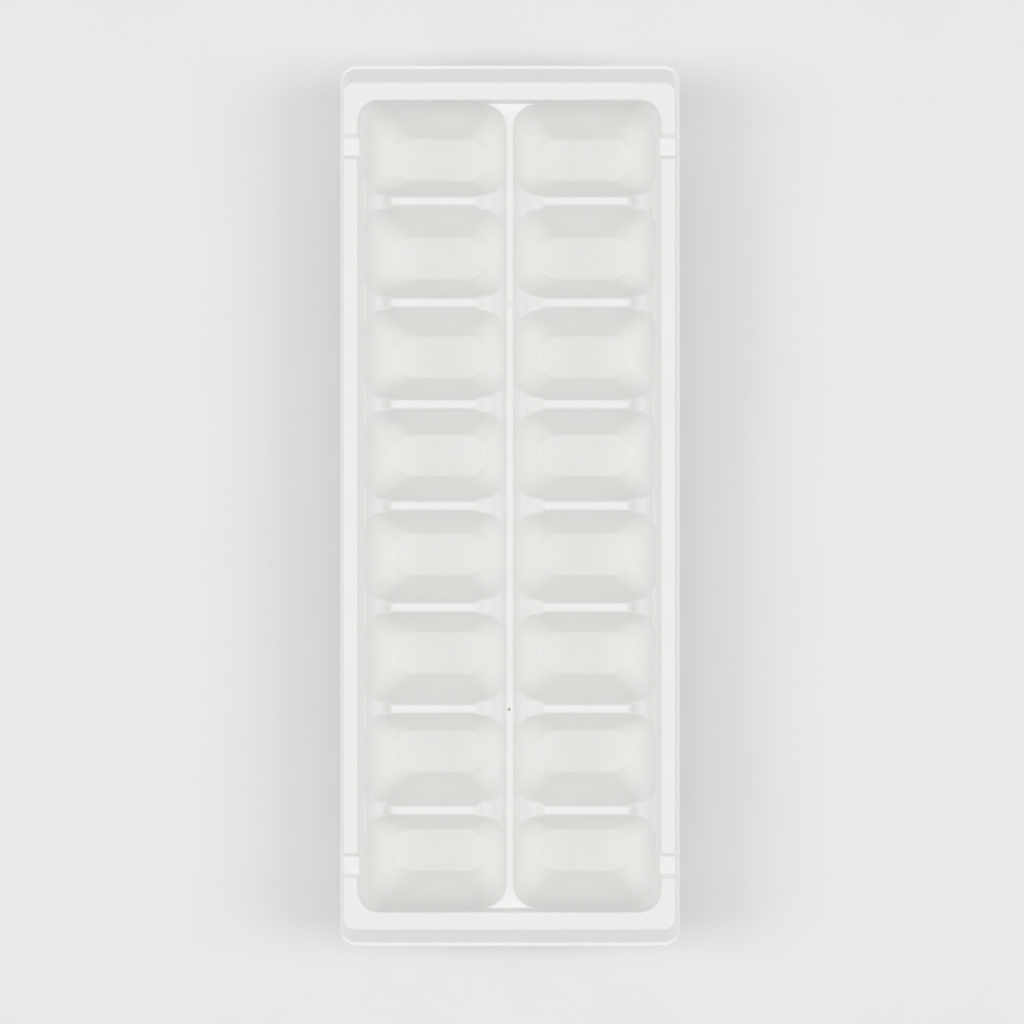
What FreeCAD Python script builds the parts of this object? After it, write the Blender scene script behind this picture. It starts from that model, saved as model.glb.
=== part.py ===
"""Sixteen-cup ice cube tray: one thin-walled moulding in millimetres, +Z up.

X runs across the tray, Y along it.  The origin is under the middle of the tray, on
the surface that the cup bottoms rest on.
"""
import FreeCAD, Part
import math
import os

# ---- cups: two columns, mirrored about the centre rib --------------------------------
cups_along = 8
cup_pitch = 36.15           # from one cup to the next along a column
cup_floor_start = 9.7       # from the middle of the tray to the near end of a cup floor
cup_floor_length = 33.85    # across the tray
cup_floor_width = 15.6      # along the tray
cup_corner_radius = 7.5     # upright corners, the same from floor to mouth
long_wall_draft = 18.2      # degrees from upright, the walls that face along the tray
end_wall_draft = 2.0        # degrees from upright at the mouth, where the scoop starts
end_cup_reach = 15.9        # from the last cup's middle to the tray's end wall

# ---- levels above the resting surface --------------------------------------------------
rim_top = 38.0
rib_top = 32.5              # centre rib, and the level where the basin's side walls bend
ridge_top = 28.2            # raised middle of each divider
saddle_top = 25.0           # low ends of each divider, where water runs from cup to cup
floor_thickness = 1.5
wall = 1.5

# ---- basin above the cups --------------------------------------------------------------
basin_half_width = 50.65    # at rib_top
basin_side_lean = 26.2      # degrees from upright, above rib_top
basin_end_draft = 4.0
end_blend = 5.0             # half height of the soft bend in an end cup's outer wall

# ---- centre rib and dividers -----------------------------------------------------------
rib_width = 2.4
rib_draft = 15.5
rib_foot_radius = 2.5
rib_core_top = 27.5         # how far the hollow under the rib reaches up
saddle_curve_radius = 5.2   # saddle rising to the basin's side wall
ridge_start = 12.3          # from the middle of the tray, at the ridge's top
ridge_length = 29.7
ridge_end_run = 1.6         # length of the slope at each end of a ridge

# ---- rim, skirt and lip ----------------------------------------------------------------
rim_width_side = 4.9
rim_width_end = 6.1
rim_corner_radius = 3.8
skirt_depth = 10.0
skirt_flare_side = 1.25
skirt_flare_end = 6.35
skirt_corner_radius = 5.0
lip_width_side = 0.8
lip_width_end = 1.25
lip_height = 1.3

# ---- shallow recesses across the side rims, level with the end cups ---------------------
recess_length = 6.0
recess_depth = 2.5
recess_slope_run = 1.4

scoop_flats = 2             # below the saddles, each curved end wall is this many drafted flats

vec = FreeCAD.Vector
half_rib = rib_width / 2
last_cup_y = (cups_along - 1) / 2 * cup_pitch
last_divider_y = last_cup_y - cup_pitch / 2
basin_half_length = last_cup_y + end_cup_reach
mouth_rise = rim_top - rib_top
mouth_half_width = basin_half_width + mouth_rise * math.tan(math.radians(basin_side_lean))
mouth_half_length = basin_half_length + mouth_rise * math.tan(math.radians(basin_end_draft))
rim_half_width = mouth_half_width + rim_width_side
rim_half_length = mouth_half_length + rim_width_end
skirt_bottom = rim_top - skirt_depth


def rounded_outline(x0, x1, y0, y1, radius, z):
    """A closed rectangle with four round corners, at height z."""
    r = min(radius, 0.49 * (x1 - x0), 0.49 * (y1 - y0))
    corners = [(x1 - r, y0 + r, -90), (x1 - r, y1 - r, 0), (x0 + r, y1 - r, 90), (x0 + r, y0 + r, 180)]

    def on_corner(corner, turn):
        angle = math.radians(corner[2] + turn)
        return vec(corner[0] + r * math.cos(angle), corner[1] + r * math.sin(angle), z)

    edges = []
    for here, after in zip(corners, corners[1:] + corners[:1]):
        start, middle, end = (on_corner(here, turn) for turn in (0, 45, 90))
        edges.append(Part.Arc(start, middle, end).toShape())
        edges.append(Part.LineSegment(end, on_corner(after, 0)).toShape())
    return Part.Wire(edges)


def centred_outline(half_width, half_length, radius, z):
    return rounded_outline(-half_width, half_width, -half_length, half_length, radius, z)


def stacked_solid(outlines):
    """A closed solid through round-cornered outlines, straight from each to the next."""
    faces = [Part.Face(outlines[0]), Part.Face(outlines[-1])]
    for lower, upper in zip(outlines, outlines[1:]):
        for low_edge, high_edge in zip(lower.Edges, upper.Edges):
            curve = low_edge.Curve
            if isinstance(curve, Part.Circle) and abs(curve.Radius - high_edge.Curve.Radius) < 1e-6:
                faces.append(low_edge.extrude(high_edge.Curve.Center - curve.Center))
            elif isinstance(curve, Part.Circle):
                faces.append(Part.makeRuledSurface(low_edge, high_edge))
            else:
                points = [low_edge.firstVertex().Point, low_edge.lastVertex().Point,
                          high_edge.lastVertex().Point, high_edge.firstVertex().Point]
                faces.append(Part.Face(Part.makePolygon(points + points[:1])))
    solid = Part.makeSolid(Part.makeShell(faces))
    if solid.Volume < 0:
        solid.reverse()
    return solid


def prism_along_y(points, y0, y1):
    """Extrudes a closed XZ outline from y0 to y1."""
    outline = Part.makePolygon([vec(x, y0, z) for x, z in points + points[:1]])
    return Part.Face(outline).extrude(vec(0, y1 - y0, 0))


def prism_along_x(points, x0, x1):
    """Extrudes a closed YZ outline from x0 to x1."""
    outline = Part.makePolygon([vec(x0, y, z) for y, z in points + points[:1]])
    return Part.Face(outline).extrude(vec(x1 - x0, 0, 0))


def mirrored_x(shape):
    return shape.mirror(vec(0, 0, 0), vec(1, 0, 0))


def mirrored_y(shape):
    return shape.mirror(vec(0, 0, 0), vec(0, 1, 0))


# ---- cups --------------------------------------------------------------------------------
def end_scoop(run, z):
    """One end wall is an arc from the mouth to the floor: its inset and slope at height z."""
    drop = rib_top - floor_thickness
    top_slope = math.radians(end_wall_draft)
    floor_slope = 2 * math.atan(run / drop) - top_slope
    radius = drop / (math.sin(floor_slope) - math.sin(top_slope))
    slope = math.asin(math.sin(top_slope) + (rib_top - z) / radius)
    return radius * (math.cos(top_slope) - math.cos(slope)), slope


def long_wall(z):
    """A wall that faces along the tray: its reach from the cup's middle and its slope."""
    slope = math.radians(long_wall_draft)
    return cup_floor_width / 2 + (z - floor_thickness) * math.tan(slope), slope


def end_cup_wall(z):
    """The wall next to the tray's end, which bends from the cup's draft to the basin's."""
    lower = math.tan(math.radians(long_wall_draft))
    upper = math.tan(math.radians(basin_end_draft))
    along_cup = long_wall(z)[0]
    along_top = end_cup_reach - (rib_top - z) * upper
    bend_z = z + (along_top - along_cup) / (lower - upper)
    bent = min(max((z - bend_z + end_blend) / (2 * end_blend), 0), 1)
    slope = math.atan(lower + (upper - lower) * bent)
    if bent == 1:
        return along_top, slope
    return along_cup - (lower - upper) * end_blend * bent ** 2, slope


def cup_ends(z, grow):
    """Where a cup starts and ends across the tray at height z."""
    inner_inset, inner_slope = end_scoop(cup_floor_start - half_rib, z)
    outer_inset, outer_slope = end_scoop(basin_half_width - cup_floor_start - cup_floor_length, z)
    return (half_rib + inner_inset - grow / math.cos(inner_slope),
            basin_half_width - outer_inset + grow / math.cos(outer_slope))


def cup_solid(far_wall, bottom, grow):
    """A cup's hollow, or with grow set the solid that leaves a wall around it."""
    sections = []
    saddle = saddle_top - floor_thickness + bottom
    for z in [bottom + (saddle - bottom) * step / scoop_flats for step in range(scoop_flats + 1)] + [rib_top]:
        start_x, end_x = cup_ends(z, grow)
        near_reach, near_slope = long_wall(z)
        far_reach, far_slope = far_wall(z)
        sections.append(rounded_outline(
            start_x, end_x,
            -near_reach - grow / math.cos(near_slope), far_reach + grow / math.cos(far_slope),
            cup_corner_radius + grow, z))
    return stacked_solid(sections)


def all_cups(bottom, grow):
    """Copies of one middle cup and one end cup, in both columns."""
    middle = cup_solid(long_wall, bottom, grow)
    end = cup_solid(end_cup_wall, bottom, grow)
    end.translate(vec(0, last_cup_y, 0))
    column = [end, mirrored_y(end)]
    for place in range(1, cups_along - 1):
        cup = middle.copy()
        cup.translate(vec(0, last_cup_y - place * cup_pitch, 0))
        column.append(cup)
    return column + [mirrored_x(cup) for cup in column]


# ---- channel over the dividers of one column, with its ridges ------------------------------
def channel_solid(grow):
    """From the rib's side to the basin's side wall, from saddle level up to rib level."""
    rib_slope = math.tan(math.radians(rib_draft))
    rib_grow = grow / math.cos(math.radians(rib_draft))
    low = saddle_top - grow
    foot_x = half_rib + (rib_top - low) * rib_slope - rib_grow
    side_x = cup_ends(low, grow)[1]
    channel = prism_along_y([(foot_x, low), (side_x, low), (cup_ends(rib_top, grow)[1], rib_top),
                             (half_rib - rib_grow, rib_top)], -last_cup_y, last_cup_y)

    def rounded_edge(solid, x, radius):
        edges = [e for e in solid.Edges
                 if all(abs(v.X - x) < 1e-6 and abs(v.Z - low) < 1e-6 for v in e.Vertexes)]
        return solid.makeFillet(radius, edges)

    channel = rounded_edge(channel, side_x, saddle_curve_radius + grow)
    return channel if grow else rounded_edge(channel, foot_x, rib_foot_radius)


def ridge_solid(y):
    """The raised middle of a divider; the cups beside it trim its sides."""
    start, end = ridge_start, ridge_start + ridge_length
    below = saddle_top - wall / 2
    slope = ridge_end_run / (ridge_top - saddle_top)
    run = slope * (ridge_top - below)
    side = cup_pitch / 4
    return prism_along_y([(start - run, below), (end + run, below), (end, ridge_top), (start, ridge_top)],
                         y - side, y + side)


def ridge_core(y):
    """The hollow under a ridge that keeps its wall even, open to the valley below."""
    slope = math.tan(math.radians(long_wall_draft))
    side_wall = wall / math.cos(math.radians(long_wall_draft))
    low = saddle_top - wall - 0.1
    high = ridge_top - wall
    half_low = cup_pitch / 2 - long_wall(low)[0] - side_wall
    half_high = half_low - (high - low) * slope
    start, end = ridge_start + wall, ridge_start + ridge_length - wall
    return prism_along_x([(y - half_low, low), (y + half_low, low), (y + half_high, high), (y - half_high, high)],
                         start, end)


# ---- rim, skirt and lip --------------------------------------------------------------------
def skirt_outside():
    """The filled outer form under the rim: flared skirt with a thin lip at its foot."""
    foot_width = rim_half_width + skirt_flare_side
    foot_length = rim_half_length + skirt_flare_end
    body = stacked_solid([centred_outline(foot_width, foot_length, skirt_corner_radius, skirt_bottom),
                          centred_outline(rim_half_width, rim_half_length, rim_corner_radius, rim_top)])
    lip_radius = skirt_corner_radius + lip_width_side
    lip = Part.Face(centred_outline(foot_width + lip_width_side, foot_length + lip_width_end,
                                    lip_radius, skirt_bottom)).extrude(vec(0, 0, lip_height))
    return body.fuse(lip)


def skirt_inside():
    """The hollow under the rim, a wall's thickness inside the skirt."""
    side_lean = skirt_flare_side / skirt_depth
    end_lean = skirt_flare_end / skirt_depth
    side_wall = wall * math.hypot(1, side_lean)
    end_wall = wall * math.hypot(1, end_lean)
    roof = rim_top - wall

    def outline(z, radius):
        below_rim = rim_top - z
        return centred_outline(rim_half_width + side_lean * below_rim - side_wall,
                               rim_half_length + end_lean * below_rim - end_wall, radius, z)

    return stacked_solid([outline(skirt_bottom - 1, skirt_corner_radius - wall / 2),
                          outline(roof, rim_corner_radius - wall / 2)])


def recess_solid(y, grow):
    """A dip across one side rim; with grow set, the solid that carries its floor."""
    reach = grow * (1 + recess_slope_run / recess_depth) / 2
    half_floor = recess_length / 2 + reach
    half_mouth = half_floor + recess_slope_run
    floor_z = rim_top - recess_depth - grow
    top_z = rim_top - grow
    points = [(y - half_floor, floor_z), (y + half_floor, floor_z), (y + half_mouth, top_z),
              (y + half_mouth, rim_top + 1), (y - half_mouth, rim_top + 1), (y - half_mouth, top_z)]
    inner_x = basin_half_width if grow else basin_half_width - 1
    return prism_along_x(points, inner_x, rim_half_width + skirt_flare_side + lip_width_side + 1)


# ---- basin above rib level -------------------------------------------------------------------
def basin_solid(grow):
    bottom = rib_top - grow
    side_lean = math.radians(basin_side_lean)
    end_lean = math.radians(basin_end_draft)

    def outline(z):
        return centred_outline(basin_half_width + (z - rib_top) * math.tan(side_lean) + grow / math.cos(side_lean),
                               basin_half_length + (z - rib_top) * math.tan(end_lean) + grow / math.cos(end_lean),
                               cup_corner_radius + grow, z)

    return stacked_solid([outline(bottom), outline(rim_top)])


def make_tray():
    divider_places = [last_divider_y - n * cup_pitch for n in range(cups_along - 1)]
    recess_places = [last_cup_y, -last_cup_y]

    outside = skirt_outside()
    rim = outside.cut(skirt_inside())
    channel_walls = channel_solid(wall)
    carriers = [recess_solid(y, wall).common(outside) for y in recess_places]
    rib_cap = Part.makeBox(half_rib * 1.8, 2 * basin_half_length, rib_top - rib_core_top - wall / 2,
                           vec(-half_rib * 0.9, -basin_half_length, rib_core_top))
    blank = rim.multiFuse([basin_solid(wall), channel_walls, mirrored_x(channel_walls), rib_cap]
                          + carriers + [mirrored_x(c) for c in carriers]
                          + all_cups(0, wall))

    channel = channel_solid(0).cut(Part.makeCompound([ridge_solid(y) for y in divider_places]))
    recesses = [recess_solid(y, 0) for y in recess_places]
    cores = [ridge_core(y) for y in divider_places]
    hollows = ([basin_solid(0), channel, mirrored_x(channel)]
               + recesses + [mirrored_x(r) for r in recesses]
               + cores + [mirrored_x(c) for c in cores]
               + all_cups(floor_thickness, 0))
    return blank.cut(hollows).removeSplitter()


tray = make_tray()
solid = tray.Solids[0]
box = solid.BoundBox
print("solids", len(tray.Solids), "valid", solid.isValid(), "faces", len(solid.Faces))
print("size %.2f x %.2f x %.2f mm, from z %.3f" % (box.XLength, box.YLength, box.ZLength, box.ZMin))
print("volume %.1f cm3" % (solid.Volume / 1000))

os.makedirs("parts", exist_ok=True)
solid.exportStep("parts/tray.step")
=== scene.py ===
import math

import bmesh
import bpy
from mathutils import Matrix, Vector


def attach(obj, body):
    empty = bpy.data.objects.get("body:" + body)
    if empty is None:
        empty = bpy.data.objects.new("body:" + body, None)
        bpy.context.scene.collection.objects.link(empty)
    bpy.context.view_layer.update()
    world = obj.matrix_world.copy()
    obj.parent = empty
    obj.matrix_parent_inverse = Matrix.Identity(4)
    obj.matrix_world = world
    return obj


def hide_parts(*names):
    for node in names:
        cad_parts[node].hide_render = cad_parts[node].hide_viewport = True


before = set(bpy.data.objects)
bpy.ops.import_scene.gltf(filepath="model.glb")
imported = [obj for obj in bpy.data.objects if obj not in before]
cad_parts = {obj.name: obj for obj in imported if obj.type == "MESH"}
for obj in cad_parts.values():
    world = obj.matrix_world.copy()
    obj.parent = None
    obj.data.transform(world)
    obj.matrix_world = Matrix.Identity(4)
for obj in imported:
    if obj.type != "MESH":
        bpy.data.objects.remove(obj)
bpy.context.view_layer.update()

mm = 0.001

# the moulding, in millimetres; angles in degrees from upright
tray = {
    "cupsAlong": 8, "cupPitch": 36.15,
    "floorStart": 9.7, "floorLength": 33.85, "floorWidth": 15.6, "cornerRadius": 7.5,
    "ribCornerTaper": 0.034, "sideCornerTaper": -0.098,
    "longDraft": 18.2, "endDraft": 2.0, "endCupReach": 15.7, "endBlend": 5.0,
    "rimTop": 38.0, "ribTop": 32.5, "ridgeTop": 28.2, "saddleTop": 25.0, "floorTop": 1.5, "wall": 1.5,
    "basinHalfWidth": 50.65, "mouthHalfWidth": 53.35, "mouthHalfLength": 142.81, "basinEndDraft": 6.0,
    "ledgeHeight": 31.9, "leanStart": 51.35, "leanTo": 35.4, "mouthDraft": 7.0,
    "ribWidth": 2.4, "ribDraft": 15.5, "ribFoot": 2.5, "ribCoreTop": 26.5,
    "saddleCurve": 5.8, "saddleLean": 4.0, "ridgeStart": 12.3, "ridgeLength": 29.7, "ridgeEndRun": 1.8,
    "rimWidthSide": 4.9, "rimWidthEnd": 6.1, "rimCorner": 3.8,
    "skirtDepth": 10.0, "flareSide": 1.25, "flareEnd": 6.95, "skirtCorner": 5.0,
    "lipSide": 0.8, "lipEnd": 0.65, "lipHeight": 1.0,
    "recessHalf": 3.0, "recessDepth": 2.5, "recessRun": 1.4,
}

# how the moulding's surface is drawn: edge radii in millimetres, and how many steps each stretch gets
mesh = {
    "mouthEdge": 0.7, "ribEdge": 0.5, "ridgeEdge": 0.45, "ridgeFoot": 1.1, "floorEdge": 0.8,
    "rimEdge": 0.55, "basinEdge": 0.8, "lipEdge": 0.3, "rootEdge": 0.35, "recessEdge": 0.3,
    "bendSoftness": 0.3, "meltSoftness": 0.5, "ledgeFade": 3.0, "sideValues": (1.0, 0.88, 0.72, 0.5, 0.25),
    "ribSteps": 8, "saddleSteps": 7, "ridgeSteps": 7, "flatSteps": 3, "curveSteps": 8, "ledgeSteps": 5,
    "wallSteps": 9, "edgeSteps": 3, "bendSteps": 12, "mergeAt": 0.003, "sharpAngle": 62.0, "normalWeight": 60,
    # how far soft edges reach, as shares, and where they start or fade out, in millimetres
    "turnLimit": 2.9, "edgeShare": 0.48, "roomShare": 0.4, "steepDrop": 0.8, "floorEdgeShare": 0.9,
    "edgeFade": 1.2, "shortestStep": 0.2, "cornerGap": 0.02, "underRidgeRun": 0.2, "wallGlance": 2.0,
    "ribCornerShare": 0.45, "ribCornerFade": 0.75, "teeLiftAngle": 40.0,
    "basinEdgeReach": 2.1, "roofEdgeReach": 0.7, "firstRow": 0.02, "recessOutward": 1.17, "recessShift": 6.0,
}

halfRib = tray["ribWidth"] / 2
lastCup = (tray["cupsAlong"] - 1) / 2 * tray["cupPitch"]
rimHalfWidth = tray["mouthHalfWidth"] + tray["rimWidthSide"]
rimHalfLength = tray["mouthHalfLength"] + tray["rimWidthEnd"]
skirtFoot = tray["rimTop"] - tray["skirtDepth"]

# the moulding's two skins: grow is how far a skin lies outside the cups' hollows, edge scales its soft edges
topSkin = {"grow": 0.0, "roof": tray["ribTop"], "teeRoof": tray["ribTop"], "edge": 1.0}
underSkin = {"grow": tray["wall"], "roof": tray["ribCoreTop"], "teeRoof": tray["ribTop"] - tray["wall"],
             "edge": 0.7}


def scoop(run, z):                       # a cup's curved end wall at height z: how far in it is, and its slope
    drop = tray["ribTop"] - tray["floorTop"]
    topSlope = math.radians(tray["endDraft"])
    floorSlope = 2 * math.atan(run / drop) - topSlope
    radius = drop / (math.sin(floorSlope) - math.sin(topSlope))
    slope = math.asin(math.sin(topSlope) + (tray["ribTop"] - z) / radius)
    return radius * (math.cos(topSlope) - math.cos(slope)), slope


def ribSideX(z, grow):                   # the end wall beside the rib
    inset, slope = scoop(tray["floorStart"] - halfRib, z)
    return halfRib + inset - grow / math.cos(slope)


def softMax(a, b, softness):
    return (a + b + math.hypot(a - b, softness)) / 2


def basinX(z, grow):                     # the basin's side wall: it leans out, then stands nearly upright
    mouthSlope = math.radians(tray["mouthDraft"])
    topX = tray["mouthHalfWidth"] - (tray["rimTop"] - tray["leanTo"]) * math.tan(mouthSlope)
    lean = math.atan((topX - tray["leanStart"]) / (tray["leanTo"] - tray["ledgeHeight"]))
    leaning = tray["leanStart"] + (z - tray["ledgeHeight"]) * math.tan(lean) + grow / math.cos(lean)
    mouth = topX + (z - tray["leanTo"]) * math.tan(mouthSlope) + grow / math.cos(mouthSlope)
    return -softMax(-leaning, -mouth, mesh["bendSoftness"])


def outerX(z, grow, ease=0.0):           # the end wall beside the rim; ease melts it into the basin's wall above
    inset, slope = scoop(tray["basinHalfWidth"] - tray["floorStart"] - tray["floorLength"], z)
    wall = tray["basinHalfWidth"] - inset + grow / math.cos(slope)
    return wall + ease * (softMax(wall, basinX(z, grow), mesh["meltSoftness"]) - wall)


def longWall(z, grow):                   # a wall that faces along the tray, from the cup's middle
    slope = math.radians(tray["longDraft"])
    return tray["floorWidth"] / 2 + (z - tray["floorTop"]) * math.tan(slope) + grow / math.cos(slope)


def endWall(z, grow):                    # the same wall of an end cup, bending up into the basin's end
    lower = math.tan(math.radians(tray["longDraft"]))
    upper = math.tan(math.radians(tray["basinEndDraft"]))
    blend = tray["endBlend"]
    alongCup = longWall(z, 0)
    alongTop = tray["endCupReach"] - (tray["ribTop"] - z) * upper
    bent = min(max((blend - (alongTop - alongCup) / (lower - upper)) / (2 * blend), 0), 1)
    reach = alongTop if bent == 1 else alongCup - (lower - upper) * blend * bent ** 2
    return reach + grow / math.cos(math.atan(lower + (upper - lower) * bent))


def corners(z, grow, basin=False):       # a cup's corner radii at height z, beside the rib and beside the rim
    rise = max(z - tray["floorTop"], 0)
    most = longWall(z, grow) - mesh["cornerGap"]
    nearRim = 0 if basin else rise * tray["sideCornerTaper"]
    nearRib = rise * tray["ribCornerTaper"]
    return min(tray["cornerRadius"] + nearRib + grow, most), min(tray["cornerRadius"] + nearRim + grow, most)


def cupPoint(spot, z, grow, far):        # a spot of a cup's outline at height z, from the cup's middle
    kind, value, hand = spot
    atEnd = far is endWall and hand > 0
    r0, r1 = corners(z, grow, atEnd)
    ease = 1 if atEnd else 1 - value ** mesh["ledgeFade"] if kind == "sideWall" else 0
    x0, x1 = ribSideX(z, grow), outerX(z, grow, ease)
    reach = far(z, grow) if hand > 0 else longWall(z, grow)
    if kind == "ribWall":
        return x0, hand * value * (reach - r0)
    if kind == "ribCorner":
        return x0 + r0 - r0 * math.cos(value), hand * (reach - r0 + r0 * math.sin(value))
    if kind == "long":
        return x0 + r0 + value * (x1 - x0 - r0 - r1), hand * reach
    if kind == "sideCorner":
        return x1 - r1 + r1 * math.cos(value), hand * (reach - r1 + r1 * math.sin(value))
    return x1, hand * value * (reach - r1)


def spotAt(x, z, grow, hand):            # which spot of the outline lies at x, at height z
    r0, r1 = corners(z, grow)
    x0, x1 = ribSideX(z, grow), outerX(z, grow)
    if x < x0 + r0:
        return "ribCorner", math.acos(min(max((x0 + r0 - x) / r0, -1), 1)), hand
    if x > x1 - r1:
        return "sideCorner", math.acos(min(max((x - x1 + r1) / r1, -1), 1)), hand
    return "long", (x - x0 - r0) / (x1 - x0 - r0 - r1), hand


def curved(a, corner, b, t):             # a point of the soft curve from a to b, drawn towards the corner
    return a * (1 - t) ** 2 + corner * 2 * t * (1 - t) + b * t ** 2


def softened(points, radii, steps):      # rounds the inner corners of a line of points
    out = [Vector(points[0])]
    for before, here, after, radius in zip(points, points[1:], points[2:], radii):
        here, back, on = Vector(here), Vector(before) - Vector(here), Vector(after) - Vector(here)
        if back.length < 1e-9 or on.length < 1e-9:
            out += [here] * (steps + 1)
            continue
        turn = math.pi - back.angle(on, 0)
        reach = min(radius * math.tan(min(turn, mesh["turnLimit"]) / 2), mesh["edgeShare"] * back.length,
                    mesh["edgeShare"] * on.length)
        start, end = here + back.normalized() * reach, here + on.normalized() * reach
        out += [curved(start, here, end, n / steps) for n in range(steps + 1)]
    out.append(Vector(points[-1]))
    return out


def divided(a, b, steps):                # the points between a and b, ends left out
    return [a.lerp(b, n / steps) for n in range(1, steps)]


def deckLine(skin):                      # a divider's outline from the rib's middle to the basin's side, x and z
    grow = skin["grow"]
    saddle = tray["saddleTop"] - grow
    ridge = tray["ridgeTop"] - grow
    ribSlope = math.tan(math.radians(tray["ribDraft"]))
    ribOut = halfRib - grow / math.cos(math.radians(tray["ribDraft"]))
    crest = (ribOut + (tray["ribTop"] - skin["roof"]) * ribSlope, skin["roof"])
    foot = (ribOut + (tray["ribTop"] - saddle) * ribSlope, saddle)
    start, end = tray["ridgeStart"] + grow, tray["ridgeStart"] + tray["ridgeLength"] - grow
    run = tray["ridgeEndRun"] if grow == 0 else mesh["underRidgeRun"]
    radius = tray["saddleCurve"] + grow
    lean = math.radians(tray["saddleLean"])
    arcTop = saddle + radius * (1 - math.sin(lean))
    wallTop = Vector((outerX(tray["ledgeHeight"], grow), tray["ledgeHeight"]))
    arcMiddle = wallTop.x - (wallTop.y - arcTop) * math.tan(lean) - radius * math.cos(lean)
    turns = [(0, skin["roof"]), crest, foot, (start - run, saddle), (start, ridge), (end, ridge),
             (end + run, saddle), (arcMiddle, saddle)]
    radii = [mesh["ribEdge"] * skin["edge"], tray["ribFoot"], mesh["ridgeFoot"], mesh["ridgeEdge"],
             mesh["ridgeEdge"], mesh["ridgeFoot"]]
    line = softened(turns, radii, mesh["edgeSteps"])[:-1]
    curve = []
    for n in range(mesh["curveSteps"] + 1):
        turn = (math.pi / 2 - lean) * n / mesh["curveSteps"]
        curve.append(Vector((arcMiddle + radius * math.sin(turn), saddle + radius * (1 - math.cos(turn)))))
    curve += divided(curve[-1], wallTop, mesh["ledgeSteps"]) + [wallTop]
    stretch = mesh["edgeSteps"] + 1      # points that each softened corner takes
    whole, last = [], 0
    for corner, steps in ((1, mesh["ribSteps"]), (2, mesh["saddleSteps"]), (4, mesh["ridgeSteps"])):
        here = corner * stretch
        whole += line[last:here + 1] + divided(line[here], line[here + 1], steps)
        last = here + 1
    return whole + line[last:] + divided(line[-1], curve[0], mesh["flatSteps"]) + curve


verts, faces = [], []                    # one quarter of the moulding, in millimetres


def addGrid(rows):                       # quads through rows of points
    first = len(verts)
    width = len(rows[0])
    for row in rows:
        verts.extend(tuple(p) for p in row)
    for i in range(len(rows) - 1):
        for j in range(width - 1):
            a = first + i * width + j
            faces.append((a, a + 1, a + width + 1, a + width))


def addFace(points):
    faces.append(tuple(range(len(verts), len(verts) + len(points))))
    verts.extend(tuple(p) for p in points)


def wallDown(spot, top, cup):            # a column of points from the top of a cup's wall to its floor
    grow, far, y = cup["grow"], cup["far"], cup["y"]
    floor = tray["floorTop"] - grow
    edge = mesh["floorEdge"] + grow
    low = floor + edge * mesh["floorEdgeShare"]

    def at(z):
        px, py = cupPoint(spot, z, grow, far)
        return Vector((px, y + py, z))

    steps, softSteps = mesh["wallSteps"], mesh["edgeSteps"]
    column = [top] + [at(top.z + (low - top.z) * n / steps) for n in range(1, steps + 1)]
    corner, inner = at(floor), floorSpot(spot, edge, cup)
    return column + [curved(column[-1], corner, inner, n / softSteps) for n in range(1, softSteps + 1)]


def floorSpot(spot, inset, cup):         # a spot of the flat floor, inside its rounded edge
    kind, value, hand = spot
    grow, floor = cup["grow"], tray["floorTop"] - cup["grow"]
    r0, r1 = corners(floor, grow, cup["far"] is endWall and hand > 0)
    x0, x1 = ribSideX(floor, grow) + r0, outerX(floor, grow) - r1
    reach = cup["far"](floor, grow) if hand > 0 else longWall(floor, grow)
    ribRadius, sideRadius = r0 - inset, r1 - inset
    places = {
        "ribWall": (x0 - r0 + inset, hand * value * (reach - r0)),
        "ribCorner": (x0 - ribRadius * math.cos(value), hand * (reach - r0 + ribRadius * math.sin(value))),
        "long": (x0 + value * (x1 - x0), hand * (reach - inset)),
        "sideCorner": (x1 + sideRadius * math.cos(value), hand * (reach - r1 + sideRadius * math.sin(value))),
        "sideWall": (x1 + r1 - inset, hand * value * (reach - r1)),
    }
    px, py = places[kind]
    return Vector((px, cup["y"] + py, floor))


def mouthSide(skin, cup, line, spots, hand):     # half a divider, its soft edge, and the cup's wall below
    grow, y = cup["grow"], cup["y"]
    middleY = y + hand * tray["cupPitch"] / 2
    first = mesh["edgeSteps"] + 1        # the rib's soft edge ends here
    length = [0.0]
    for a, b in zip(line, line[1:]):
        length.append(length[-1] + (b - a).length)
    deck, edge, columns = [], [], []
    for n, (p, spot) in enumerate(zip(line, spots)):
        if n < first:
            columnTop = cup["ribTops"][hand][n]
            deck.append([Vector((p.x, middleY, p.y)), columnTop])
            continue
        mouthX, mouthY = cupPoint(spot, p.y, grow, cup["far"])
        mouth = Vector((mouthX, y + mouthY, p.y))
        if n == first:
            mouth = cup["ribTops"][hand][n]
        room = abs(middleY - mouth.y)
        fade = min((length[n] - length[first]) / mesh["edgeFade"], (length[-1] - length[n]) / mesh["edgeFade"], 1)
        soft = min(mesh["mouthEdge"] * skin["edge"], mesh["roomShare"] * room) * fade
        inner = mouth + Vector((0, hand * soft, 0))
        after = min(n + 1, len(line) - 1)
        steep = abs(line[after].y - line[n - 1].y) / max(mesh["shortestStep"], length[after] - length[n - 1])
        drop = soft * (1 + mesh["steepDrop"] * steep)
        lowX, lowY = cupPoint(spot, p.y - drop, grow, cup["far"])
        below = Vector((lowX, y + lowY, p.y - drop)) if soft > 0 else mouth
        deck.append([Vector((p.x, middleY, p.y)), inner])
        edge.append([inner, curved(inner, mouth, below, 0.5), below])
        columns.append(wallDown(spot, below, cup))
    addGrid(deck)
    addGrid(edge)
    addGrid(columns)
    return columns


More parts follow.
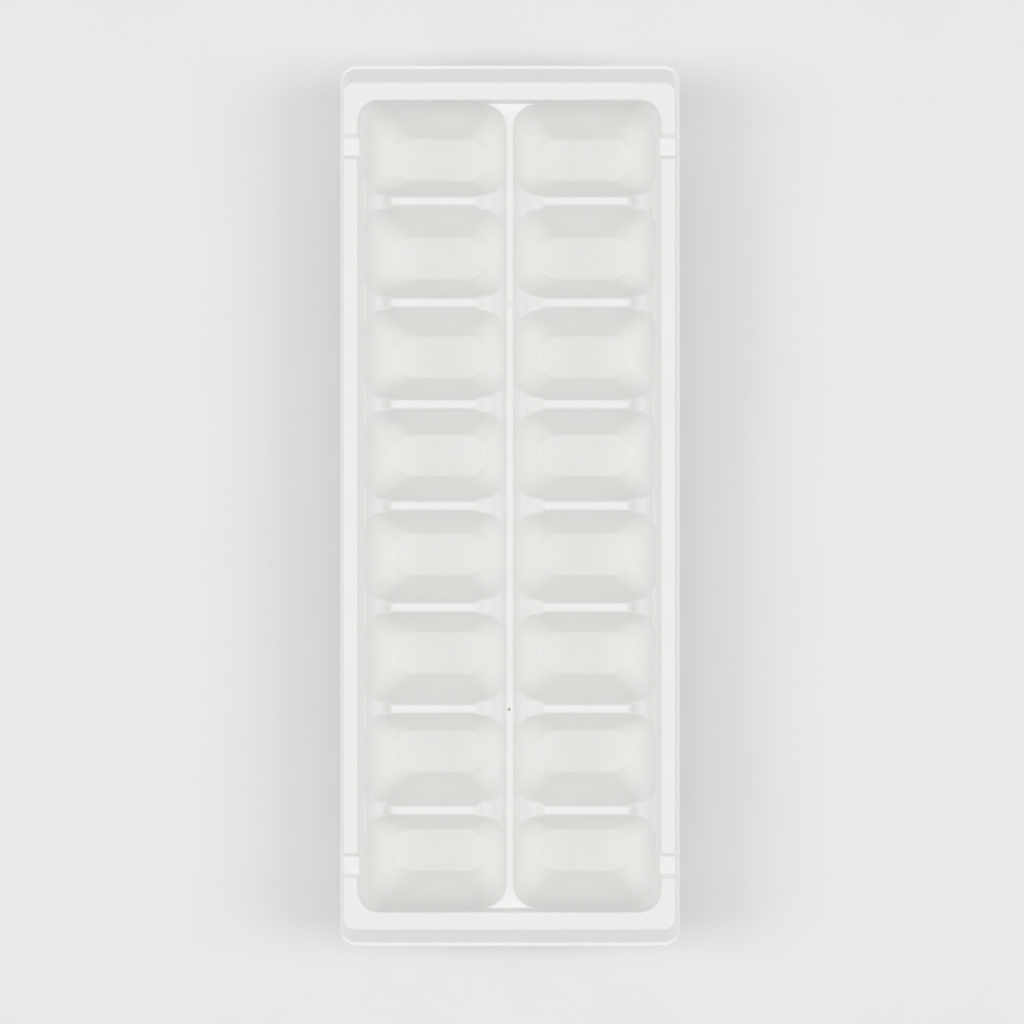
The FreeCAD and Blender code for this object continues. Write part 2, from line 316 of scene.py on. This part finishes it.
def ribTop(skin, cup, spot, roof):       # from the rib's middle over its soft edge to the top of a wall
    px, py = cupPoint(spot, roof, cup["grow"], cup["far"])
    top = Vector((px, cup["y"] + py, roof))
    lowZ = roof - mesh["wallGlance"]
    lowX, lowY = cupPoint(spot, lowZ, cup["grow"], cup["far"])
    low = Vector((lowX, cup["y"] + lowY, lowZ))
    radius = mesh["ribEdge"] * skin["edge"]
    if spot[0] == "ribCorner":
        most = mesh["ribCornerShare"] * tray["cornerRadius"]
        radius = min(radius, most * (1 - math.sin(spot[1])) ** mesh["ribCornerFade"])
    if radius < 1e-6:
        return [Vector((0, top.y, roof))] + [top] * (mesh["edgeSteps"] + 1)
    return softened([(0, top.y, roof), top, low], [radius], mesh["edgeSteps"])[:-1]


def buildQuarter(skin):                  # a quarter of a skin; returns its outer edge, each point with its rim place
    grow = skin["grow"]
    line = deckLine(skin)
    cups = tray["cupsAlong"] // 2
    edge = [(Vector((line[-1].x, 0, line[-1].y)), ("side", 0.0))]
    for number in range(cups):
        atEnd = number == cups - 1
        cup = {"grow": grow, "y": (number + 0.5) * tray["cupPitch"], "far": endWall if atEnd else longWall}
        spots = {hand: [spotAt(p.x, p.y, grow, hand) for p in line] for hand in (-1, 1)}
        first = mesh["edgeSteps"] + 1
        for hand in (-1, 1):
            spots[hand][first] = ("ribCorner", 0.0, hand)
            spots[hand][-1] = ("sideCorner", 0.0, hand)
        ribSpots = [("ribWall", 1.0, -1), ("ribWall", 0.0, 1), ("ribWall", 1.0, 1)]
        ribRows = [ribTop(skin, cup, spot, skin["roof"]) for spot in ribSpots]
        cup["ribTops"] = {-1: ribRows[0], 1: ribRows[-1]}
        addGrid(ribRows)
        ribColumns = [wallDown(spot, row[-1], cup) for spot, row in zip(ribSpots, ribRows)]
        addGrid(ribColumns)
        near = mouthSide(skin, cup, line, spots[-1], -1)
        if atEnd:
            far, extra = teeSide(skin, cup, spots[1][first:])
        else:
            far, extra = mouthSide(skin, cup, line, spots[1], 1), None
        sideSpots = sideWallSpots(atEnd)
        sideColumns = []
        for spot in sideSpots:
            low = lowRow(("cup", spot), skin)
            px, py = cupPoint(spot, low, grow, cup["far"])
            sideColumns.append(wallDown(spot, Vector((px, cup["y"] + py, low)), cup))
        addGrid(sideColumns)
        if atEnd:
            columnTops = [c[0] for c in far]
        else:
            edge += [(c[0], ("side", c[0].y)) for c in sideColumns]
            edge.append((Vector((line[-1].x, cup["y"] + tray["cupPitch"] / 2, line[-1].y)),
                         ("side", cup["y"] + tray["cupPitch"] / 2)))
        nearFloor, farFloor = [c[-1] for c in near], [c[-1] for n, c in enumerate(far) if n != extra]
        for j in range(1, len(nearFloor) - 2):
            between = [far[extra][-1]] if extra == j + 1 else []
            addFace([nearFloor[j], nearFloor[j + 1], farFloor[j + 1]] + between + [farFloor[j]])
        addFace([c[-1] for c in ribColumns] + [farFloor[1], nearFloor[1]])
        addFace([c[-1] for c in sideColumns] + [farFloor[-2], nearFloor[-2]])
    marks = [-m for m in reversed(recessMarks)] + [0.0] + recessMarks
    places = [c[0].y - cup["y"] for c in sideColumns[:3]] + marks + [sideColumns[-1][0].y - cup["y"]]
    edge += [(c[0], ("side", cup["y"] + place)) for c, place in zip(sideColumns, places)]
    edge.append((sideColumns[-1][0], ("corner", 0.0)))
    farSpots = spots[1][first:]
    farSpots.insert(extra, ("ribCorner", math.pi / 2, 1))
    turned = False
    for spot, top in reversed(list(zip(farSpots, columnTops))[extra:-1]):
        if spot[0] == "sideCorner":
            edge.append((top, ("corner", spot[1])))
            continue
        if not turned:
            edge.append((edge[-1][0], ("end", edge[-1][0].x)))
            turned = True
        edge.append((top, ("end", top.x)))
    edge.append((Vector((0, edge[-1][0].y, edge[-1][0].z)), ("end", 0.0)))
    return edge


def lowRow(node, skin):                  # the height where the cups' walls hand over to the basin's
    side = tray["ledgeHeight"]
    kind = node[0]
    if kind == "corner":
        return side + (skin["teeRoof"] - side) * node[1] / (math.pi / 2)
    return skin["teeRoof"] if kind in ("end", "tee") else side


recessMarks = [corner + step for corner in (tray["recessHalf"], tray["recessHalf"] + tray["recessRun"])
               for step in (-mesh["recessEdge"], 0, mesh["recessEdge"])]


def sideWallSpots(atEnd):
    if not atEnd:
        return [("sideWall", value, -1) for value in mesh["sideValues"]] + [("sideWall", 0.0, 1)] + [
            ("sideWall", value, 1) for value in reversed(mesh["sideValues"])]
    low = tray["ledgeHeight"]
    nearReach = longWall(low, 0) - corners(low, 0)[1]
    farReach = endWall(low, 0) - corners(low, 0, True)[1]
    return ([("sideWall", value, -1) for value in mesh["sideValues"][:3]]
            + [("sideWall", m / nearReach, -1) for m in reversed(recessMarks)]
            + [("sideWall", 0.0, 1)] + [("sideWall", m / farReach, 1) for m in recessMarks] + [("sideWall", 1.0, 1)])


def teeSide(skin, cup, spots):           # the flat tee between the rib and the tray's end, and the end cup's wall
    columns, tee = [], []
    for spot in spots:
        if spot[0] == "ribCorner":
            lift = min(spot[1] / math.radians(mesh["teeLiftAngle"]), 1)
            roof = skin["roof"] + (skin["teeRoof"] - skin["roof"]) * lift * lift * (3 - 2 * lift)
            row = ribTop(skin, cup, spot, roof)
            tee.append(row)
            columns.append(wallDown(spot, row[-1], cup))
            continue
        if columns and tee and len(tee) == len(columns):
            row = ribTop(skin, cup, ("ribCorner", math.pi / 2, 1), skin["teeRoof"])
            tee.append(row)
            columns.append(wallDown(("ribCorner", math.pi / 2, 1), row[-1], cup))
        kind = "corner" if spot[0] == "sideCorner" else "end"
        low = lowRow((kind, spot[1]), skin)
        px, py = cupPoint(spot, low, cup["grow"], cup["far"])
        columns.append(wallDown(spot, Vector((px, cup["y"] + py, low)), cup))
    addGrid(tee)
    addGrid(columns)
    return columns, len(tee) - 1


def dip(y, outward):                     # how far the rim's top lies lower at y, with soft bends
    soft = mesh["recessEdge"]
    steep = tray["recessDepth"] / tray["recessRun"]
    away = abs(abs(y) - lastCup) - outward

    def bend(d):                         # 0 before the corner, a straight slope after it
        return 0 if d < -soft else steep * d if d > soft else steep * (d + soft) ** 2 / (4 * soft)

    return tray["recessDepth"] - bend(away - tray["recessHalf"]) + bend(away - tray["recessHalf"] - tray["recessRun"])


def onOutline(place, halfWidth, halfLength, radius, z):      # a place on a rounded outline round the tray
    kind, value = place
    if kind == "side":
        return Vector((halfWidth, value, z))
    if kind == "end":
        return Vector((value, halfLength, z))
    return Vector((halfWidth - radius + radius * math.cos(value), halfLength - radius + radius * math.sin(value), z))


def basinPoint(low, place, z, grow):     # the basin's wall above the cups
    halfLength = lastCup + endWall(z, grow)
    at = onOutline(place, softMax(outerX(z, grow), basinX(z, grow), mesh["meltSoftness"]), halfLength,
                   tray["cornerRadius"] + grow, z)
    if place[0] == "side":
        share = min((z - low.z) / (tray["rimTop"] - tray["recessDepth"] - tray["wall"] - low.z), 1)
        at.y = low.y + (place[1] - low.y) * share
    return at


def rimProfile(topLow, topPlace, underLow, underPlace):      # from a cup's wall over the rim and back under it
    lean = {"side": tray["flareSide"] / tray["skirtDepth"], "end": tray["flareEnd"] / tray["skirtDepth"]}
    thick = {kind: tray["wall"] * math.hypot(1, lean[kind]) for kind in lean}
    footWidth, footLength = rimHalfWidth + tray["flareSide"], rimHalfLength + tray["flareEnd"]

    def skirt(place, z, inside=0.0):
        down = tray["rimTop"] - z
        radius = tray["rimCorner"] + (tray["skirtCorner"] - tray["rimCorner"]) * down / tray["skirtDepth"]
        return onOutline(place, rimHalfWidth + lean["side"] * down - inside * thick["side"],
                         rimHalfLength + lean["end"] * down - inside * thick["end"],
                         radius - inside * tray["wall"] / 2, z)

    def lip(place, z):
        return onOutline(place, footWidth + tray["lipSide"], footLength + tray["lipEnd"],
                         tray["skirtCorner"] + tray["lipSide"], z)

    rimZ, roofZ, outward = tray["rimTop"], tray["rimTop"] - tray["wall"], mesh["recessOutward"]
    if topPlace[0] == "side":
        rimZ -= dip(topPlace[1], 0)
    roofPlace = underPlace
    if underPlace[0] == "side" and 0 < abs(underPlace[1] - lastCup) < mesh["recessShift"]:
        roofPlace = ("side", underPlace[1] + math.copysign(outward, underPlace[1] - lastCup))
    if roofPlace[0] == "side":
        roofZ -= dip(roofPlace[1], outward)
    steps = mesh["bendSteps"]
    upTo, downFrom = rimZ - mesh["basinEdgeReach"] * mesh["basinEdge"], roofZ - mesh["roofEdgeReach"]
    rows = [mesh["firstRow"]] + [n / steps for n in range(1, steps + 1)]
    up = [basinPoint(topLow, topPlace, topLow.z + (upTo - topLow.z) * row, 0) for row in rows]
    down = [basinPoint(underLow, roofPlace, underLow.z + (downFrom - underLow.z) * row, tray["wall"])
            for row in reversed(rows)]
    lipTop = skirtFoot + tray["lipHeight"]
    turns = [(basinPoint(topLow, topPlace, rimZ, 0), "basinEdge"), (skirt(topPlace, rimZ), "rimEdge"),
             (skirt(topPlace, lipTop), "rootEdge"), (lip(topPlace, lipTop), "lipEdge"),
             (lip(topPlace, skirtFoot), "lipEdge"), (skirt(roofPlace, skirtFoot, 1.0), "lipEdge"),
             (skirt(roofPlace, roofZ, 1.0), "rimEdge"),
             (basinPoint(underLow, roofPlace, roofZ, tray["wall"]), "rimEdge")]
    bends = [up[-1]] + [turn[0] for turn in turns] + [down[0]]
    rounded = softened(bends, [mesh[turn[1]] for turn in turns], mesh["edgeSteps"])
    return [topLow] + up[:-1] + rounded + down[1:] + [underLow]


topEdge = buildQuarter(topSkin)
underEdge = buildQuarter(underSkin)
# a fan at the tee's corner makes up the count where one edge has fewer points
for shorter, longer in ((topEdge, underEdge), (underEdge, topEdge)):
    missing = len(longer) - len(shorter)
    low, (kind, x) = shorter[-2]
    for n in range(1, missing + 1):
        shorter.insert(-1, (low, ("end", x * (1 - n / (missing + 1)))))
addGrid([rimProfile(*top, *under) for top, under in zip(topEdge, underEdge)])
print("a quarter of the moulding:", len(verts), "points", len(topEdge), len(underEdge), "edge places")


def wholeTray():                         # four mirrored quarters, joined into one closed mesh
    data = bpy.data.meshes.new("iceCubeTray")
    bm = bmesh.new()
    for sideways in (1, -1):
        for lengthways in (1, -1):
            made = [bm.verts.new((x * sideways * mm, y * lengthways * mm, z * mm)) for x, y, z in verts]
            for face in faces:
                ring = [made[i] for i in (face if sideways * lengthways > 0 else reversed(face))]
                bm.faces.new(ring)
    bmesh.ops.remove_doubles(bm, verts=bm.verts, dist=mesh["mergeAt"] * mm)
    bmesh.ops.dissolve_degenerate(bm, edges=bm.edges, dist=1e-7)
    bmesh.ops.recalc_face_normals(bm, faces=bm.faces)
    sharp = math.radians(mesh["sharpAngle"])
    for face in bm.faces:
        face.smooth = True
    openEdges = 0
    for line in bm.edges:
        if len(line.link_faces) != 2:
            openEdges += 1
        else:
            line.smooth = line.calc_face_angle(0) < sharp
    print("open edges", openEdges, "faces", len(bm.faces), "volume", round(bm.calc_volume() * 1e6, 2), "cm3")
    bm.to_mesh(data)
    bm.free()
    piece = bpy.data.objects.new("tray_shell", data)
    bpy.context.scene.collection.objects.link(piece)
    normals = piece.modifiers.new("evenNormals", "WEIGHTED_NORMAL")
    normals.keep_sharp = True
    normals.weight = mesh["normalWeight"]
    return piece


shell = wholeTray()
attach(shell, "root")
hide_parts("tray")
print("tray shell built")

# camera: straight above the tray, with a long lens
view = {"place": (0.0247, 0.0098, 0.870), "lens": 83.2, "sensor": 36, "shift": (-0.0660, -0.0330), "farClip": 20}

camData = bpy.data.cameras.new("viewCamera")
camData.lens = view["lens"]
camData.sensor_width = view["sensor"]
camData.shift_x, camData.shift_y = view["shift"]
camData.clip_end = view["farClip"]
camera = bpy.data.objects.new("viewCamera", camData)
camera.location = view["place"]
bpy.context.scene.collection.objects.link(camera)
bpy.context.scene.camera = camera
bpy.context.scene.view_settings.view_transform = "Standard"

# the lamps stand in pairs, one each side: elevation in degrees, and watts
lighting = {"world": 0.47, "colour": (1, 0.994, 0.982), "lampSize": 0.9, "lampDistance": 2.0,
            "lamps": ((45, 7.4), (60, 1.4), (78, 2.0))}


def addLamp(name, place, watts, size):
    lamp = bpy.data.lights.new(name, "AREA")
    lamp.energy, lamp.shape, lamp.size, lamp.color = watts, "SQUARE", size, lighting["colour"]
    holder = bpy.data.objects.new(name, lamp)
    holder.location = place
    holder.rotation_euler = (-Vector(place)).to_track_quat("-Z", "Y").to_euler()
    bpy.context.scene.collection.objects.link(holder)


for elevation, watts in lighting["lamps"]:
    for hand, side in ((1, "Right"), (-1, "Left")):
        out = lighting["lampDistance"] * math.cos(math.radians(elevation))
        up = lighting["lampDistance"] * math.sin(math.radians(elevation))
        addLamp("softbox" + side + str(elevation), (hand * out, 0, up), watts, lighting["lampSize"])

world = bpy.data.worlds.new("studio")
bpy.context.scene.world = world
world.use_nodes = True
backdrop = world.node_tree.nodes["Background"]
backdrop.inputs["Color"].default_value = (*lighting["colour"], 1)
backdrop.inputs["Strength"].default_value = lighting["world"]

print("camera and lights ready")


def newGroup(name, inputs, outputs):     # a node group with number sockets; inputs come with their starting values
    group = bpy.data.node_groups.new(name, "ShaderNodeTree")
    for label, value in inputs:
        group.interface.new_socket(label, in_out="INPUT", socket_type="NodeSocketFloat").default_value = value
    for label in outputs:
        group.interface.new_socket(label, in_out="OUTPUT", socket_type="NodeSocketFloat")
    return group, group.nodes.new("NodeGroupInput"), group.nodes.new("NodeGroupOutput")


def addNode(tree, kind, settings=(), **sockets):     # sockets take values or other nodes' outputs
    node = tree.nodes.new(kind)
    for key, value in dict(settings).items():
        setattr(node, key, value)
    for key, value in sockets.items():
        numbered = key[0] == "i" and key[1:].isdigit()
        socket = node.inputs[int(key[1:]) if numbered else key.replace("_", " ")]
        if isinstance(value, bpy.types.NodeSocket):
            tree.links.new(value, socket)
        else:
            socket.default_value = value
    return node


def mathNode(tree, operation, a, b=0.0):
    return addNode(tree, "ShaderNodeMath", {"operation": operation}, i0=a, i1=b).outputs[0]


def placeOn(tree):                       # the piece's own coordinates, in millimetres
    where = addNode(tree, "ShaderNodeTexCoord").outputs["Object"]
    return addNode(tree, "ShaderNodeVectorMath", {"operation": "SCALE"}, i0=where, Scale=1 / mm).outputs["Vector"]


# fine grain: a small even roughness of the surface, with larger cloudy patches in it
grainLook = {"fineDetail": 2.0, "fineRoughness": 0.6, "broadDetail": 3.0, "broadRoughness": 0.5,
             "patchRange": (0.32, 0.68)}

grain, grainIn, grainOut = newGroup("fineGrain", (("Grain Size", 0.4), ("Patch Size", 14.0), ("Patch Depth", 0.3)),
                                    ("Height", "Patches"))
grainPlace = placeOn(grain)


def grainNoise(size, detail, roughness):     # noise whose scale follows one of the group's sizes
    scale = mathNode(grain, "DIVIDE", 1.0, grainIn.outputs[size])
    return addNode(grain, "ShaderNodeTexNoise", Vector=grainPlace, Detail=detail, Roughness=roughness,
                   Scale=scale).outputs["Fac"]


fine = grainNoise("Grain Size", grainLook["fineDetail"], grainLook["fineRoughness"])
broad = grainNoise("Patch Size", grainLook["broadDetail"], grainLook["broadRoughness"])
patches = addNode(grain, "ShaderNodeMapRange", Value=broad, From_Min=grainLook["patchRange"][0],
                  From_Max=grainLook["patchRange"][1]).outputs["Result"]
lowered = mathNode(grain, "MULTIPLY", patches, grainIn.outputs["Patch Depth"])
grain.links.new(mathNode(grain, "ADD", fine, lowered), grainOut.inputs["Height"])
grain.links.new(patches, grainOut.inputs["Patches"])

# the tray's plastic: satin white; sizes in millimetres, and each mark's place, radius and strength
plasticLook = {
    "colour": (0.973, 0.972, 0.968, 1), "cloudyColour": (0.965, 0.963, 0.957, 1),
    "markColour": (0.42, 0.41, 0.39, 1), "markCore": 0.6, "markDepth": 6.0,
    "roughness": (0.37, 0.47), "streakRoughness": 0.05, "edgeRoughness": -0.07, "wornRange": (0.53, 0.62),
    "grainSize": 0.45, "patchSize": 17.0, "patchDepth": 0.35, "bump": 0.012,
    "streaks": (1.1, 0.09, 0.35), "streakDetail": 2.0, "streakNoise": 0.55, "streakHeight": 0.35,
    "gateDot": ((-0.22, -71.98, 32.5), 0.62, 1.0),
    "gateScar": ((-0.2, 71.3, 32.5), 1.6, 0.12),
    "speck": ((1.7, 7.7, 32.0), 0.6, 0.3),
}

plastic = bpy.data.materials.new("whitePlastic")
plastic.use_nodes = True
tree = plastic.node_tree
shader = tree.nodes["Principled BSDF"]
place = placeOn(tree)
surface = addNode(tree, "ShaderNodeGroup", {"node_tree": grain}, Grain_Size=plasticLook["grainSize"],
                  Patch_Size=plasticLook["patchSize"], Patch_Depth=plasticLook["patchDepth"])


def markMask(centre, radius, strength):  # full strength at a round mark's core, fading out at its edge
    far = addNode(tree, "ShaderNodeVectorMath", {"operation": "DISTANCE"}, i0=place, i1=centre).outputs["Value"]
    return addNode(tree, "ShaderNodeMapRange", {"interpolation_type": "SMOOTHSTEP"}, Value=far,
                   From_Min=radius * plasticLook["markCore"], From_Max=radius, To_Min=strength,
                   To_Max=0.0).outputs["Result"]


marks = 0.0
for mark in ("gateDot", "gateScar", "speck"):
    marks = mathNode(tree, "MAXIMUM", marks, markMask(*plasticLook[mark]))

# streaks where the mould was polished lengthways, and edges that handling has smoothed
streakPlace = addNode(tree, "ShaderNodeVectorMath", {"operation": "MULTIPLY"}, i0=place,
                      i1=plasticLook["streaks"]).outputs["Vector"]
streaks = addNode(tree, "ShaderNodeTexNoise", Vector=streakPlace, Scale=1.0, Detail=plasticLook["streakDetail"],
                  Roughness=plasticLook["streakNoise"]).outputs["Fac"]
pointiness = addNode(tree, "ShaderNodeNewGeometry").outputs["Pointiness"]
worn = addNode(tree, "ShaderNodeMapRange", {"interpolation_type": "SMOOTHSTEP"}, Value=pointiness,
               From_Min=plasticLook["wornRange"][0], From_Max=plasticLook["wornRange"][1]).outputs["Result"]
low, high = plasticLook["roughness"]
patchRoughness = addNode(tree, "ShaderNodeMapRange", Value=surface.outputs["Patches"], To_Min=low,
                         To_Max=high).outputs["Result"]
streakRoughness = mathNode(tree, "MULTIPLY", streaks, plasticLook["streakRoughness"])
wornRoughness = mathNode(tree, "MULTIPLY", worn, plasticLook["edgeRoughness"])
roughness = mathNode(tree, "ADD", mathNode(tree, "ADD", patchRoughness, streakRoughness), wornRoughness)
tree.links.new(roughness, shader.inputs["Roughness"])

cloudy = addNode(tree, "ShaderNodeMix", {"data_type": "RGBA"}, i0=surface.outputs["Patches"],
                 i6=plasticLook["colour"], i7=plasticLook["cloudyColour"]).outputs[2]
colour = addNode(tree, "ShaderNodeMix", {"data_type": "RGBA"}, i0=marks, i6=cloudy,
                 i7=plasticLook["markColour"]).outputs[2]
tree.links.new(colour, shader.inputs["Base Color"])

streakRise = mathNode(tree, "MULTIPLY", streaks, plasticLook["streakHeight"])
markDent = mathNode(tree, "MULTIPLY", marks, plasticLook["markDepth"])
height = mathNode(tree, "SUBTRACT", mathNode(tree, "ADD", surface.outputs["Height"], streakRise), markDent)
bump = addNode(tree, "ShaderNodeBump", Strength=1.0, Distance=plasticLook["bump"] * mm, Height=height)
tree.links.new(bump.outputs["Normal"], shader.inputs["Normal"])
shell.data.materials.append(plastic)
print("plastic finished")

# the pale paper under the tray
floorLook = {"size": 3.0, "segments": 8, "colour": (0.932, 0.937, 0.949, 1), "fibreColour": (0.944, 0.949, 0.961, 1),
             "roughness": 0.88, "grainSize": 0.5, "patchSize": 60.0, "patchDepth": 0.5, "bump": 0.03, "gap": 0.02}

floorData = bpy.data.meshes.new("studioFloor")
bm = bmesh.new()
bmesh.ops.create_grid(bm, x_segments=floorLook["segments"], y_segments=floorLook["segments"],
                      size=floorLook["size"])
bm.to_mesh(floorData)
bm.free()
floor = bpy.data.objects.new("studioFloor", floorData)
floor.location.z = -floorLook["gap"] * mm       # a hair below the tray, so that no two faces lie in one plane
bpy.context.scene.collection.objects.link(floor)
paper = bpy.data.materials.new("palePaper")
paper.use_nodes = True
tree = paper.node_tree
sheet = tree.nodes["Principled BSDF"]
sheet.inputs["Roughness"].default_value = floorLook["roughness"]
fibres = addNode(tree, "ShaderNodeGroup", {"node_tree": grain}, Grain_Size=floorLook["grainSize"],
                 Patch_Size=floorLook["patchSize"], Patch_Depth=floorLook["patchDepth"])
tone = addNode(tree, "ShaderNodeMix", {"data_type": "RGBA"}, i0=fibres.outputs["Patches"],
               i6=floorLook["colour"], i7=floorLook["fibreColour"]).outputs[2]
tree.links.new(tone, sheet.inputs["Base Color"])
paperBump = addNode(tree, "ShaderNodeBump", Strength=1.0, Distance=floorLook["bump"] * mm,
                    Height=fibres.outputs["Height"])
tree.links.new(paperBump.outputs["Normal"], sheet.inputs["Normal"])
floorData.materials.append(paper)
print("floor laid")
